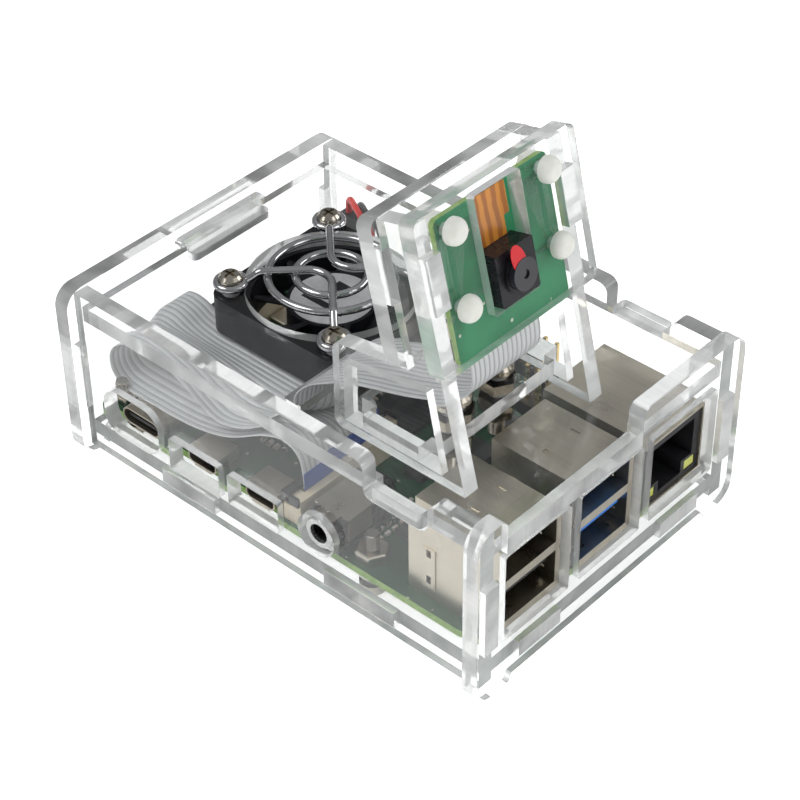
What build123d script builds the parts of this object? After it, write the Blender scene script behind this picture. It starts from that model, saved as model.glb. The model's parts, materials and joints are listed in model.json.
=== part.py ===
from build123d import *
import os
from math import cos, pi, sin

# Single board computer in a clear laser-cut case, with a cooling fan under the lid and a small
# camera on a tilted stand. Millimetres, +Z up. The origin is the centre of the case's footprint on
# the surface it stands on. Most positions are given from the board's own corner: x along its long
# connector side, y across it, z from the board's top face.
BOARD_X = -43.0
BOARD_Y = -28.0
BOARD_Z = 10.0

# Board
BOARD_LENGTH = 85.0
BOARD_WIDTH = 56.0
BOARD_THICK = 1.4
BOARD_HOLES = [(x, y) for x in (3.5, 61.5) for y in (3.5, 52.5)]
BOARD_HOLE_R = 1.35
SCREW_R = 1.22
PIN_PITCH = 2.54

# Case sheets
SHEET = 3.0
FIT = 0.1
INNER_LEFT, INNER_RIGHT = -0.2, 86.2
INNER_FRONT, INNER_BACK = -0.3, 56.3
BASE_Z = -6.2
LID_Z = 18.0
WALL_TOP, WALL_FOOT = 24.5, -7.9
PANEL_TOP, PANEL_FOOT = 24.8, -10.0
WALL_TAB = (0.0, 13.0)
BASE_TABS_LONG = [(18.0, 30.5), (55.5, 70.5)]
BASE_TABS_END = [(5.0, 15.0), (41.0, 51.0)]
LID_TAB_LEFT = (22.0, 40.0)
LID_TAB_RIGHT = (1.5, 34.0)
LID_TAB_LONG = (66.0, 76.2)

# Connectors
STACK_CENTRES = (9.0, 27.0)
STACK_FRONT = 87.6
STACK_LENGTH = 17.5
STACK_HALF = 6.55
STACK_TOP = 16.0
JACK_Y = 45.75
VIDEO_CENTRES = (26.0, 39.5)
AUDIO_X, AUDIO_Z = 54.0, 3.3
AUDIO_BORE_R = 1.8

# Fan
FAN_X, FAN_Y = 26.2, 30.6
FAN_SIZE = 30.0
FAN_THICK = 7.0
FAN_HOLES = [(FAN_X + i * 12.0, FAN_Y + j * 12.0) for i in (-1, 1) for j in (-1, 1)]
FAN_BORE_R = 13.9
HUB_R = 7.9
BLADES = 7
AXLE_R = 0.8
GUARD_WIRE_R = 0.7
GUARD_RINGS = (6.1, 10.7)
GUARD_RING_Z = 22.6
GUARD_RADIAL_Z = 23.6

# Camera stand: the camera leans back by this angle from a line through the stand's front foot
LEAN = 0.24
FOOT_X, FOOT_Z = 78.7, 21.0
LEG_NEAR, LEG_FAR = 4.0, 34.0
STAND_BASE_Z = 22.8
CAMERA_Y = 20.6
LENS_H = 30.7
CAMERA_HOLES = [(CAMERA_Y + i * 10.5, h) for i in (-1, 1) for h in (29.9, 42.4)]
STAND_SCREWS = [(66.0, 16.5), (66.0, 26.5)]

# Ribbon cable
RIBBON_WIDTH = 16.0
RIBBON_THICK = 0.3


def at(x, y, z):
    """A point given from the board's corner, in the model's frame."""
    return (BOARD_X + x, BOARD_Y + y, BOARD_Z + z)


def level(z):
    """Horizontal plane; local axes run along and across the board."""
    return Plane(origin=at(0, 0, z))


def upright(y):
    """Vertical plane along the board, facing the connector side; local y points up."""
    return Plane(origin=at(0, y, 0), x_dir=(1, 0, 0), z_dir=(0, -1, 0))


def end_on(x):
    """Vertical plane across the board, facing its socket end; local y points up."""
    return Plane(origin=at(x, 0, 0), x_dir=(0, 1, 0), z_dir=(1, 0, 0))


def leaning(s):
    """Plane of the camera stand, s in front of the line through its foot; local y runs up the lean."""
    foot = Plane(origin=at(FOOT_X, 0, FOOT_Z), x_dir=(0, 1, 0), z_dir=(cos(LEAN), 0, sin(LEAN)))
    return foot.offset(s)


def lean_point(s, h):
    """Position along the board and height of a point of the leaning frame."""
    return (FOOT_X + s * cos(LEAN) - h * sin(LEAN), FOOT_Z + s * sin(LEAN) + h * cos(LEAN))


def prism(plane, across, up, depth, radius=0, mode=Mode.ADD):
    """Straight-sided piece standing on a plane, its section given by two ranges in that plane."""
    with BuildSketch(plane) as section:
        with Locations((sum(across) / 2, sum(up) / 2)):
            Rectangle(across[1] - across[0], up[1] - up[0])
        if radius:
            fillet(section.vertices(), radius)
    extrude(section.sketch, amount=depth, mode=mode)


def plate(x, y, z, radius=0, mode=Mode.ADD):
    """Block between two heights, its plan given by two ranges."""
    prism(level(z[0]), x, y, z[1] - z[0], radius, mode)


def rod(plane, centres, radius, depth, mode=Mode.ADD):
    """Round rods or holes standing on a plane."""
    with BuildSketch(plane) as section:
        with Locations(*centres):
            Circle(radius)
    extrude(section.sketch, amount=depth, mode=mode)


def hexagons(plane, centres, across_flats, bore, depth):
    """Hexagonal nuts standing on a plane."""
    with BuildSketch(plane) as section:
        with Locations(*centres):
            RegularPolygon(across_flats / 2, 6, major_radius=False)
            Circle(bore, mode=Mode.SUBTRACT)
    extrude(section.sketch, amount=depth)


def turned(centre, outline, mode=Mode.ADD):
    """Turned piece about a vertical axis; the outline is (radius, height) pairs."""
    seat = upright(centre[1])
    with BuildSketch(seat) as section:
        with BuildLine():
            Polyline(*[(centre[0] + r, z) for r, z in outline], close=True)
        make_face()
    revolve(section.sketch, Axis(at(centre[0], centre[1], 0), (0, 0, 1)), mode=mode)


def threaded(centre, low, high, radius, pitch):
    """Vertical shank with ridges for its thread and a pointed lead."""
    turns = int((high - low) / pitch)
    outline = [(0, low)]
    for turn in range(turns):
        outline.append((radius - 0.18, low + turn * pitch))
        outline.append((radius, low + (turn + 0.5) * pitch))
    outline.append((radius - 0.18, low + turns * pitch))
    outline.append((radius - 0.18, high))
    outline.append((0, high))
    turned(centre, outline)


def cross_recess(plane, centres, depth):
    """Cross-shaped driver recess cut down into a screw head from a plane on its top."""
    with BuildSketch(plane) as section:
        with Locations(*centres):
            Rectangle(2.4, 0.5)
            Rectangle(0.5, 2.4)
    extrude(section.sketch, amount=-depth, mode=Mode.SUBTRACT)


def write(piece, label):
    """Label a finished piece and write it out."""
    piece.part.label = label
    export_step(piece.part, f"parts/{label}.step")


os.makedirs("parts", exist_ok=True)

# ---------------------------------------------------------------- case


def wall_blank(y):
    """Long wall with its stepped top edge and its two end tabs."""
    with BuildSketch(upright(y)) as outline:
        with BuildLine():
            Polyline(
                (INNER_LEFT, WALL_FOOT),
                (INNER_RIGHT, WALL_FOOT),
                (INNER_RIGHT, WALL_TOP - 0.5),
                (77.6, WALL_TOP - 0.5),
                (77.6, LID_Z - FIT),
                (64.6, LID_Z - FIT),
                (64.6, WALL_TOP),
                (INNER_LEFT, WALL_TOP),
                close=True,
            )
        make_face()
        fillet(outline.vertices().filter_by_position(Axis.X, 60, 80), 1.8)
    extrude(outline.sketch, amount=SHEET)
    prism(upright(y), (INNER_LEFT - SHEET, INNER_RIGHT + SHEET), WALL_TAB, SHEET)
    for tab in BASE_TABS_LONG:
        slot = (tab[0] - FIT, tab[1] + FIT)
        prism(upright(y), slot, (BASE_Z - FIT, BASE_Z + SHEET + FIT), SHEET, mode=Mode.SUBTRACT)


def panel_blank(x):
    """End panel with rounded corners, two feet and the slots for the walls and the base."""
    with BuildSketch(end_on(x)) as outline:
        with BuildLine():
            Polyline(
                (-5.1, PANEL_FOOT),
                (2.9, PANEL_FOOT),
                (2.9, -8.5),
                (53.1, -8.5),
                (53.1, PANEL_FOOT),
                (61.1, PANEL_FOOT),
                (61.1, PANEL_TOP),
                (-5.1, PANEL_TOP),
                close=True,
            )
        make_face()
        fillet(outline.vertices().filter_by_position(Axis.X, 2, 54), 0.7)
        fillet(outline.vertices().filter_by_position(Axis.X, -6, -5), 3.5)
        fillet(outline.vertices().filter_by_position(Axis.X, 61, 62), 3.5)
    extrude(outline.sketch, amount=SHEET)
    for low in (INNER_FRONT - SHEET, INNER_BACK):
        slot = (low - FIT, low + SHEET + FIT)
        height = (WALL_TAB[0] - FIT, WALL_TAB[1] + FIT)
        prism(end_on(x), slot, height, SHEET, mode=Mode.SUBTRACT)
    for tab in BASE_TABS_END:
        slot = (tab[0] - FIT, tab[1] + FIT)
        prism(end_on(x), slot, (BASE_Z - FIT, BASE_Z + SHEET + FIT), SHEET, mode=Mode.SUBTRACT)


with BuildPart() as case_front_wall:
    wall_blank(INNER_FRONT)
    opening = upright(INNER_FRONT)
    prism(opening, (4.4, 17.8), (-1.8, 7.6), SHEET, 3.6, Mode.SUBTRACT)
    prism(opening, (20.2, 32.0), (-2.0, 4.7), SHEET, 0.5, Mode.SUBTRACT)
    prism(opening, (34.0, 45.6), (-1.6, 4.7), SHEET, 0.5, Mode.SUBTRACT)
    rod(opening, [(AUDIO_X, AUDIO_Z)], 4.0, SHEET, Mode.SUBTRACT)
write(case_front_wall, "case_front_wall")

with BuildPart() as case_back_wall:
    wall_blank(INNER_BACK + SHEET)
write(case_back_wall, "case_back_wall")

with BuildPart() as case_left_panel:
    panel_blank(INNER_LEFT - SHEET)
    inside = end_on(INNER_LEFT - SHEET)
    lid_slot = (LID_TAB_LEFT[0] - 1.4, LID_TAB_LEFT[1] + 1.4)
    prism(inside, lid_slot, (LID_Z - FIT, LID_Z + SHEET + 0.8), SHEET, 1.2, Mode.SUBTRACT)
    prism(inside, (20.0, 36.0), (-3.0, -0.2), SHEET, 0.5, Mode.SUBTRACT)
write(case_left_panel, "case_left_panel")

with BuildPart() as case_right_panel:
    panel_blank(INNER_RIGHT)
    inside = end_on(INNER_RIGHT)
    for port in ((1.2, 16.8), (19.2, 34.8), (37.2, 54.3)):
        prism(inside, port, (-0.2, 17.2), SHEET, 0.6, Mode.SUBTRACT)
    recess = (LID_TAB_RIGHT[0] - FIT, LID_TAB_RIGHT[1] + FIT)
    prism(inside, recess, (LID_Z - FIT, PANEL_TOP + 5), SHEET, mode=Mode.SUBTRACT)
    shoulders = case_right_panel.edges().filter_by(Axis.X).group_by(Axis.Z)[-1].sort_by(Axis.Y)
    fillet(shoulders[1:3], 1.6)
write(case_right_panel, "case_right_panel")

with BuildPart() as case_base_plate:
    base = (BASE_Z, BASE_Z + SHEET)
    plate((INNER_LEFT, INNER_RIGHT), (INNER_FRONT, INNER_BACK), base)
    for tab in BASE_TABS_LONG:
        plate(tab, (INNER_FRONT - SHEET, INNER_BACK + SHEET), base)
    for tab in BASE_TABS_END:
        plate((INNER_LEFT - SHEET, INNER_RIGHT + SHEET), tab, base)
    rod(level(BASE_Z), BOARD_HOLES, BOARD_HOLE_R, SHEET, Mode.SUBTRACT)
write(case_base_plate, "case_base_plate")

with BuildPart() as case_top_plate:
    lid = (LID_Z, LID_Z + SHEET)
    plate((INNER_LEFT + FIT, INNER_RIGHT - FIT), (INNER_FRONT + FIT, INNER_BACK - FIT), lid)
    plate((INNER_LEFT - SHEET, INNER_RIGHT - 1), LID_TAB_LEFT, lid)
    plate((INNER_LEFT + 1, INNER_RIGHT + SHEET), LID_TAB_RIGHT, lid)
    plate(LID_TAB_LONG, (INNER_FRONT - SHEET, INNER_BACK + SHEET), lid)
    tips = case_top_plate.edges().filter_by(Axis.Z).group_by(Axis.Y)
    fillet(tips[0] + tips[-1], 0.8)
    plate((1.0, 3.4), (20.6, 39.2), lid, 1.1, Mode.SUBTRACT)
    plate((41.7, 45.1), (3.1, 19.9), lid, 0.6, Mode.SUBTRACT)
    rod(level(LID_Z), [(FAN_X, FAN_Y)], 14.8, SHEET, Mode.SUBTRACT)
    rod(level(LID_Z), FAN_HOLES, 1.5, SHEET, Mode.SUBTRACT)
    rod(level(LID_Z), STAND_SCREWS, 1.5, SHEET, Mode.SUBTRACT)
write(case_top_plate, "case_top_plate")

# ---------------------------------------------------------------- board and its fixings

with BuildPart() as circuit_board:
    plate((0, BOARD_LENGTH), (0, BOARD_WIDTH), (-BOARD_THICK, 0), 3)
    rod(level(-BOARD_THICK), BOARD_HOLES, BOARD_HOLE_R, BOARD_THICK, Mode.SUBTRACT)
    with BuildSketch(level(-BOARD_THICK)) as pin_holes:
        with Locations((32.5, 52.5)):
            with GridLocations(PIN_PITCH, PIN_PITCH, 20, 2):
                Circle(0.46)
    extrude(pin_holes.sketch, amount=BOARD_THICK, mode=Mode.SUBTRACT)
write(circuit_board, "circuit_board")

with BuildPart() as board_spacers:
    rod(level(BASE_Z + SHEET), BOARD_HOLES, 2.5, -BOARD_THICK - BASE_Z - SHEET)
    rod(level(BASE_Z + SHEET), BOARD_HOLES, BOARD_HOLE_R, SHEET, Mode.SUBTRACT)
write(board_spacers, "board_spacers")

with BuildPart() as board_screws:
    for hole in BOARD_HOLES:
        threaded(hole, BASE_Z, 5.0, SCREW_R, 0.5)
    rod(level(BASE_Z - 1.7), BOARD_HOLES, 2.3, 1.7)
    cross_recess(level(BASE_Z - 1.7), BOARD_HOLES, -1.0)
write(board_screws, "board_screws")

with BuildPart() as board_nuts:
    hexagons(level(0), BOARD_HOLES, 5.0, SCREW_R + 0.03, 2.0)
    rims = board_nuts.faces().sort_by(Axis.Z)[-4:].edges().filter_by(GeomType.LINE)
    chamfer(rims, 0.25)
write(board_nuts, "board_nuts")

with BuildPart() as header_housings:
    plate((7.1, 57.9), (49.96, 55.04), (0, 2.5))
    with BuildSketch(level(0)) as holes:
        with Locations((32.5, 52.5)):
            with GridLocations(PIN_PITCH, PIN_PITCH, 20, 2):
                Rectangle(0.66, 0.66)
    extrude(holes.sketch, amount=2.5, mode=Mode.SUBTRACT)
    plate((56.3, 61.4), (43.4, 48.5), (0, 2.5))
write(header_housings, "header_housings")

with BuildPart() as header_pins:
    with BuildSketch(level(-2.6)) as pins:
        with Locations((32.5, 52.5)):
            with GridLocations(PIN_PITCH, PIN_PITCH, 20, 2):
                Rectangle(0.62, 0.62)
    extrude(pins.sketch, amount=11.1)
    with BuildSketch(level(2.5)) as power_pins:
        with Locations((58.85, 45.95)):
            with GridLocations(PIN_PITCH, PIN_PITCH, 2, 2):
                Rectangle(0.62, 0.62)
    extrude(power_pins.sketch, amount=5.8)
write(header_pins, "header_pins")

with BuildPart() as processor:
    plate((21.75, 36.75), (25.0, 40.0), (0, 1.2))
    plate((22.6, 35.9), (25.8, 39.2), (1.2, 2.4), 1.0)
write(processor, "processor")

with BuildPart() as board_chips:
    plate((39.0, 49.0), (25.2, 39.8), (0, 1.0))
    plate((54.5, 61.5), (26.0, 33.0), (0, 0.9))
    plate((57.0, 62.0), (36.5, 41.5), (0, 0.9))
    plate((7.5, 12.5), (20.5, 25.5), (0, 0.9))
    plate((12.5, 15.5), (14.0, 17.0), (0, 0.9))
    plate((53.0, 57.0), (18.6, 21.6), (0, 1.1))
    plate((61.0, 65.5), (9.5, 14.0), (0, 0.9))
    plate((4.6, 7.4), (12.4, 15.2), (0, 1.6), 0.5)
    plate((8.2, 11.0), (12.4, 15.2), (0, 1.6), 0.5)
write(board_chips, "board_chips")

with BuildPart() as passive_parts:
    with BuildSketch(level(0)) as bodies:
        with Locations((20.2, 32.5), (38.0, 32.5)):
            with GridLocations(1.6, 1.7, 1, 8):
                Rectangle(1.0, 0.6)
        with Locations((29.2, 22.5), (29.2, 44.6)):
            with GridLocations(1.8, 1.6, 8, 2):
                Rectangle(0.6, 1.0)
        with Locations((60.5, 20.0), (59.2, 10.5), (65.5, 23.5)):
            with GridLocations(1.5, 1.8, 2, 5):
                Rectangle(0.6, 1.1)
        with Locations((53.2, 41.5), (17.5, 47.0), (13.8, 30.0)):
            with GridLocations(1.8, 1.6, 3, 3):
                Rectangle(1.0, 0.6)
        with Locations((30.8, 14.5), (22.8, 14.5)):
            with GridLocations(1.5, 2.2, 4, 3):
                Rectangle(0.7, 1.2)
    extrude(bodies.sketch, amount=0.6)
write(passive_parts, "passive_parts")

with BuildPart() as wireless_shield:
    plate((6.2, 16.2), (34.5, 43.5), (0, 1.5), 0.6)
    fillet(wireless_shield.faces().sort_by(Axis.Z)[-1].edges(), 0.3)
write(wireless_shield, "wireless_shield")

with BuildPart() as card_socket:
    plate((1.4, 15.0), (21.4, 34.8), (-2.9, -BOARD_THICK))
    plate((1.4, 14.0), (22.4, 33.8), (-2.5, -1.6), mode=Mode.SUBTRACT)
write(card_socket, "card_socket")

# ---------------------------------------------------------------- socket end


def stack_shell(centre):
    """Folded metal shell of a double serial socket, with its flared lips and stamped seams."""
    back = STACK_FRONT - STACK_LENGTH
    sides = (centre - STACK_HALF, centre + STACK_HALF)
    bore = (centre - STACK_HALF + 0.35, centre + STACK_HALF - 0.35)
    prism(end_on(back), sides, (0, STACK_TOP), STACK_LENGTH)
    lip = (centre - 7.3, centre + 7.3)
    prism(end_on(STACK_FRONT - 0.4), lip, (0.2, STACK_TOP + 0.6), 0.4)
    prism(end_on(back + 0.4), bore, (9.9, STACK_TOP - 0.35), STACK_LENGTH, mode=Mode.SUBTRACT)
    prism(end_on(back + 0.4), bore, (1.5, 8.2), STACK_LENGTH, mode=Mode.SUBTRACT)
    for side in (-1, 1):
        rib = sorted((centre + side * STACK_HALF, centre + side * (STACK_HALF + 0.25)))
        prism(end_on(back + 3.0), rib, (2.2, 10.4), 2.6)
        for x in (0.9, 11.4):
            for z in (3.2, 8.6):
                window = sorted((centre + side * (STACK_HALF + 0.3), centre + side * (STACK_HALF - 0.5)))
                prism(end_on(back + 3.0 + x), window, (z, z + 1.5), 0.9, mode=Mode.SUBTRACT)
    for y in (-3.2, 3.2):
        dimple = (centre + y - 0.45, centre + y + 0.45)
        plate((back + 7.8, back + 9.6), dimple, (STACK_TOP - 0.2, STACK_TOP), mode=Mode.SUBTRACT)
        foot = (centre + y - 1.0, centre + y + 1.0)
        prism(end_on(back + 12.0), foot, (0.9, 1.5), 4.0, mode=Mode.SUBTRACT)


def stack_insert(centre):
    """Moulded insulator of a double serial socket: back block and a contact tongue for each port."""
    back = STACK_FRONT - STACK_LENGTH
    for low, high in ((9.95, 15.6), (1.55, 8.15)):
        prism(end_on(back + 0.45), (centre - 6.15, centre + 6.15), (low, high), 5.0)
        prism(end_on(back + 5.45), (centre - 5.7, centre + 5.7), (high - 2.7, high - 0.7), 10.6)


def stack_contacts(centre):
    """Four spring contacts lying under each tongue."""
    back = STACK_FRONT - STACK_LENGTH
    for high in (15.6, 8.15):
        for step in (-3.5, -1.0, 1.0, 3.5):
            strip = (centre + step - 0.5, centre + step + 0.5)
            prism(end_on(back + 5.5), strip, (high - 2.9, high - 2.72), 10.0)


with BuildPart() as serial_stack_a_shell:
    stack_shell(STACK_CENTRES[0])
write(serial_stack_a_shell, "serial_stack_a_shell")

with BuildPart() as serial_stack_b_shell:
    stack_shell(STACK_CENTRES[1])
write(serial_stack_b_shell, "serial_stack_b_shell")

with BuildPart() as serial_stack_a_insert:
    stack_insert(STACK_CENTRES[0])
write(serial_stack_a_insert, "serial_stack_a_insert")

with BuildPart() as serial_stack_b_insert:
    stack_insert(STACK_CENTRES[1])
write(serial_stack_b_insert, "serial_stack_b_insert")

with BuildPart() as network_jack_shell:
    prism(end_on(66.5), (JACK_Y - 7.95, JACK_Y + 7.95), (0, 13.5), 20.8)
    prism(end_on(66.9), (JACK_Y - 7.55, JACK_Y + 7.55), (0.4, 13.1), 21.0, mode=Mode.SUBTRACT)
write(network_jack_shell, "network_jack_shell")

with BuildPart() as network_jack_insert:
    prism(end_on(67.0), (JACK_Y - 7.5, JACK_Y + 7.5), (0.45, 13.05), 19.9)
    prism(end_on(74.0), (JACK_Y - 5.9, JACK_Y + 5.9), (3.9, 11.4), 13.0, mode=Mode.SUBTRACT)
    prism(end_on(74.0), (JACK_Y - 3.1, JACK_Y + 3.1), (1.5, 4.0), 13.0, mode=Mode.SUBTRACT)
    for side in (-1, 1):
        lamp = sorted((JACK_Y + side * 4.0, JACK_Y + side * 6.8))
        prism(end_on(84.0), lamp, (1.3, 3.3), 3.0, mode=Mode.SUBTRACT)
write(network_jack_insert, "network_jack_insert")

with BuildPart() as network_jack_lamps:
    for side in (-1, 1):
        lamp = sorted((JACK_Y + side * 4.1, JACK_Y + side * 6.7))
        prism(end_on(84.1), lamp, (1.4, 3.2), 2.7)
write(network_jack_lamps, "network_jack_lamps")

with BuildPart() as socket_contacts:
    for middle in STACK_CENTRES:
        stack_contacts(middle)
    with BuildSketch(upright(JACK_Y + 4.0)) as spring:
        with BuildLine():
            Polyline((74.0, 10.6), (83.0, 6.9), (83.0, 7.25), (74.0, 11.0), close=True)
        make_face()
    for step in range(8):
        extrude(spring.sketch.moved(Location((0, -1.02 * step, 0))), amount=0.4)
write(socket_contacts, "socket_contacts")

# ---------------------------------------------------------------- connector side

with BuildPart() as power_port_shell:
    prism(upright(5.7), (11.2 - 4.47, 11.2 + 4.47), (0.1, 3.36), 6.95, 1.55)
    prism(upright(5.3), (11.2 - 4.17, 11.2 + 4.17), (0.4, 3.06), 7.3, 1.3, Mode.SUBTRACT)
write(power_port_shell, "power_port_shell")


def video_shell(centre):
    """Small video socket: sheet shell with bevelled lower corners and flared lips."""
    with BuildSketch(upright(5.9)) as outer:
        with Locations((centre, 1.6)):
            Rectangle(6.6, 3.0)
        chamfer(outer.vertices().group_by(Axis.Y)[0], 0.7)
    extrude(outer.sketch, amount=7.15)
    with BuildSketch(upright(5.5)) as inner:
        with Locations((centre, 1.6)):
            Rectangle(6.0, 2.4)
        chamfer(inner.vertices().group_by(Axis.Y)[0], 0.5)
    extrude(inner.sketch, amount=7.5, mode=Mode.SUBTRACT)
    prism(upright(-0.85), (centre - 2.4, centre + 2.4), (3.1, 3.5), 0.4)
    prism(upright(-0.85), (centre - 2.0, centre + 2.0), (-0.3, 0.12), 0.4)


with BuildPart() as video_port_shells:
    for middle in VIDEO_CENTRES:
        video_shell(middle)
write(video_port_shells, "video_port_shells")

with BuildPart() as small_port_tongues:
    prism(upright(5.2), (11.2 - 4.0, 11.2 + 4.0), (0.5, 2.96), 1.2, 1.1)
    prism(upright(4.0), (11.2 - 3.35, 11.2 + 3.35), (1.38, 2.08), 4.8, 0.3)
    for middle in VIDEO_CENTRES:
        prism(upright(5.4), (middle - 2.8, middle + 2.8), (0.9, 2.7), 1.4)
        prism(upright(4.0), (middle - 2.1, middle + 2.1), (1.25, 1.85), 4.6)
write(small_port_tongues, "small_port_tongues")

with BuildPart() as audio_jack_body:
    prism(upright(11.8), (AUDIO_X - 3.4, AUDIO_X + 3.4), (0, 5.7), 11.8, 0.2)
    rod(upright(0), [(AUDIO_X, AUDIO_Z)], 3.0, 2.6)
    rod(upright(-2.6), [(AUDIO_X, AUDIO_Z)], AUDIO_BORE_R, -13.0, Mode.SUBTRACT)
    lip = audio_jack_body.edges().filter_by(GeomType.CIRCLE).sort_by(Axis.Y)[0:2]
    chamfer(lip.sort_by(SortBy.RADIUS)[-1], 0.3)
write(audio_jack_body, "audio_jack_body")

with BuildPart() as audio_jack_cover:
    plate((AUDIO_X - 3.7, AUDIO_X + 3.7), (2.2, 9.6), (5.75, 6.05))
    plate((AUDIO_X + 3.45, AUDIO_X + 3.7), (2.2, 7.6), (1.6, 5.8))
    plate((AUDIO_X - 2.0, AUDIO_X + 2.0), (0.4, 2.3), (5.75, 6.05))
write(audio_jack_cover, "audio_jack_cover")


def flat_socket(middle, across):
    """Upright ribbon socket on the board: body with its slot, seen along x at the given centre."""
    plate((middle - 1.9, middle + 1.9), across, (0, 5.2))
    slot = (across[0] + 2.4, across[1] - 2.4)
    plate((middle - 0.45, middle + 0.45), slot, (1.4, 5.2), mode=Mode.SUBTRACT)
    for end in (across[0], across[1] - 1.0):
        plate((middle - 1.9, middle - 0.3), (end, end + 1.0), (3.4, 5.2), mode=Mode.SUBTRACT)


def flat_socket_latch(middle, across):
    """Sliding latch on top of a ribbon socket: a bar beside the slot with two end hooks."""
    plate((middle - 1.9, middle - 0.5), across, (5.25, 6.2))
    plate((middle - 1.9, middle + 1.9), (across[0] - 0.6, across[0] - 0.1), (4.4, 6.2))
    plate((middle - 1.9, middle + 1.9), (across[1] + 0.1, across[1] + 0.6), (4.4, 6.2))
    plate((middle - 1.9, middle - 0.5), (across[0] - 0.6, across[1] + 0.6), (5.9, 6.2))


SOCKET_SPANS = {"camera": (46.5, (0.8, 22.2)), "display": (4.0, (17.3, 38.7))}

with BuildPart() as camera_socket:
    flat_socket(*SOCKET_SPANS["camera"])
write(camera_socket, "camera_socket")

with BuildPart() as camera_socket_latch:
    flat_socket_latch(*SOCKET_SPANS["camera"])
write(camera_socket_latch, "camera_socket_latch")

with BuildPart() as display_socket:
    flat_socket(*SOCKET_SPANS["display"])
write(display_socket, "display_socket")

with BuildPart() as display_socket_latch:
    flat_socket_latch(*SOCKET_SPANS["display"])
write(display_socket_latch, "display_socket_latch")

# ---------------------------------------------------------------- fan

FAN_BOTTOM = LID_Z - FAN_THICK
FAN_HALF = FAN_SIZE / 2
fan_x_range = (FAN_X - FAN_HALF, FAN_X + FAN_HALF)
fan_y_range = (FAN_Y - FAN_HALF, FAN_Y + FAN_HALF)

with BuildPart() as fan_frame:
    plate(fan_x_range, fan_y_range, (FAN_BOTTOM, LID_Z), 3.0)
    rod(level(FAN_BOTTOM), [(FAN_X, FAN_Y)], FAN_BORE_R, FAN_THICK, Mode.SUBTRACT)
    rod(level(FAN_BOTTOM), [(FAN_X, FAN_Y)], HUB_R, 1.3)
    plate((FAN_X - 14.2, FAN_X + 14.2), (FAN_Y - 1.1, FAN_Y + 1.1), (FAN_BOTTOM, FAN_BOTTOM + 1.0))
    plate((FAN_X - 1.1, FAN_X + 1.1), (FAN_Y - 14.2, FAN_Y + 14.2), (FAN_BOTTOM, FAN_BOTTOM + 1.0))
    rod(level(FAN_BOTTOM), [(FAN_X, FAN_Y)], AXLE_R, 5.0)
    rod(level(FAN_BOTTOM), FAN_HOLES, 1.45, FAN_THICK, Mode.SUBTRACT)
write(fan_frame, "fan_frame")

HUB_LOW, HUB_HIGH = FAN_BOTTOM + 1.7, LID_Z - 0.6
with BuildPart() as fan_rotor:
    for blade in range(BLADES):
        angle = 2 * pi * blade / BLADES
        root = Plane(
            origin=at(FAN_X, FAN_Y, FAN_BOTTOM + 4.1),
            x_dir=(-sin(angle), cos(angle), 0),
            z_dir=(cos(angle), sin(angle), 0),
        )
        with BuildSketch(root.offset(HUB_R - 0.8)) as section:
            with BuildLine():
                Polyline(
                    (-3.6, -2.1),
                    (-2.7, -2.3),
                    (0.6, -0.5),
                    (3.6, 2.3),
                    (2.9, 2.5),
                    (-0.1, 0.4),
                    close=True,
                )
            make_face()
        extrude(section.sketch, amount=7.0)
    rod(level(FAN_BOTTOM), [(FAN_X, FAN_Y)], 13.3, FAN_THICK, Mode.INTERSECT)
    rod(level(HUB_LOW), [(FAN_X, FAN_Y)], HUB_R, HUB_HIGH - HUB_LOW)
    rod(level(HUB_LOW), [(FAN_X, FAN_Y)], HUB_R - 1.0, HUB_HIGH - HUB_LOW - 1.2, Mode.SUBTRACT)
    rod(level(HUB_LOW), [(FAN_X, FAN_Y)], 2.0, HUB_HIGH - HUB_LOW - 1.0)
    rod(level(HUB_LOW), [(FAN_X, FAN_Y)], AXLE_R + 0.05, 3.6, Mode.SUBTRACT)
write(fan_rotor, "fan_rotor")

with BuildPart() as fan_label:
    rod(level(HUB_HIGH), [(FAN_X, FAN_Y)], 7.2, 0.1)
write(fan_label, "fan_label")

EYELET_R = 2.35
EYELET_Z = LID_Z + SHEET + GUARD_WIRE_R


def guard_arm(side):
    """Wire of the guard from one eyelet in over the rings, round near the middle, and out again."""
    corner = 12.0 - EYELET_R / 2 ** 0.5
    points = [
        (FAN_X - corner, FAN_Y + side * corner, EYELET_Z),
        (FAN_X - corner + 1.9, FAN_Y + side * (corner - 1.9), GUARD_RADIAL_Z),
        (FAN_X, FAN_Y, GUARD_RADIAL_Z),
        (FAN_X + corner - 1.9, FAN_Y + side * (corner - 1.9), GUARD_RADIAL_Z),
        (FAN_X + corner, FAN_Y + side * corner, EYELET_Z),
    ]
    with BuildLine() as path:
        FilletPolyline(*[at(*point) for point in points], radius=[1.5, 4.2, 1.5])
    start = Plane(origin=path.wire() @ 0, z_dir=path.wire() % 0)
    with BuildSketch(start) as section:
        Circle(GUARD_WIRE_R)
    sweep(section.sketch, path=path.wire())


with BuildPart() as fan_guard:
    for ring in GUARD_RINGS:
        with BuildSketch(upright(FAN_Y)) as wire:
            with Locations((FAN_X + ring, GUARD_RING_Z)):
                Circle(GUARD_WIRE_R)
        revolve(wire.sketch, Axis(at(FAN_X, FAN_Y, 0), (0, 0, 1)))
    for hole in FAN_HOLES:
        with BuildSketch(upright(hole[1])) as wire:
            with Locations((hole[0] + EYELET_R, EYELET_Z)):
                Circle(GUARD_WIRE_R)
        revolve(wire.sketch, Axis(at(hole[0], hole[1], 0), (0, 0, 1)))
    guard_arm(-1)
    guard_arm(1)
write(fan_guard, "fan_guard")

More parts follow.
